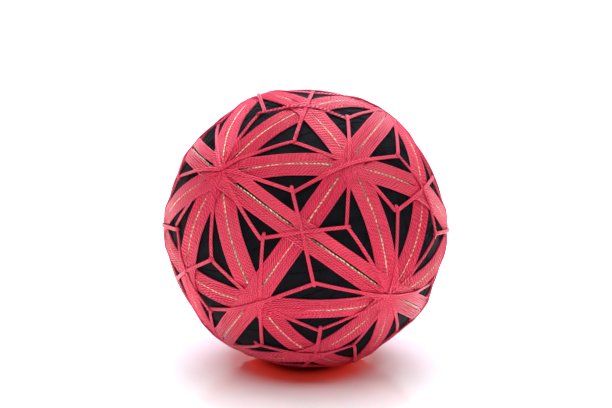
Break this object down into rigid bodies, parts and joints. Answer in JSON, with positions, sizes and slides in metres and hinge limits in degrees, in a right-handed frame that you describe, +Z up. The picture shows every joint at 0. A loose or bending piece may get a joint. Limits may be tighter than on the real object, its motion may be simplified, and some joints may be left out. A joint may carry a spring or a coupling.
{
  "type": "embroidered temari thread ball",
  "caption": "Decorative thread-wound ball, black, crossed all round by flat bands of pink thread in a star pattern, with a small flat spot to rest on.",
  "frame": {"origin": "middle of the small flat spot that the ball rests on, under the ball's centre", "axes": "+Z up; the front of the ball, with a four-band crossing near its middle, faces -Y; +X to the right seen from the front"},
  "size_m": [0.0865, 0.0846, 0.0837],
  "materials": {
    "core_thread": "matt black wound sewing thread",
    "band_thread": "soft sheen coral-pink pearl cotton",
    "marking_thread": "pale gold metallic thread"
  },
  "bodies": {
    "root": {"wound_core": "core_thread", "thread_bands": "band_thread"}
  },
  "joints": []
}
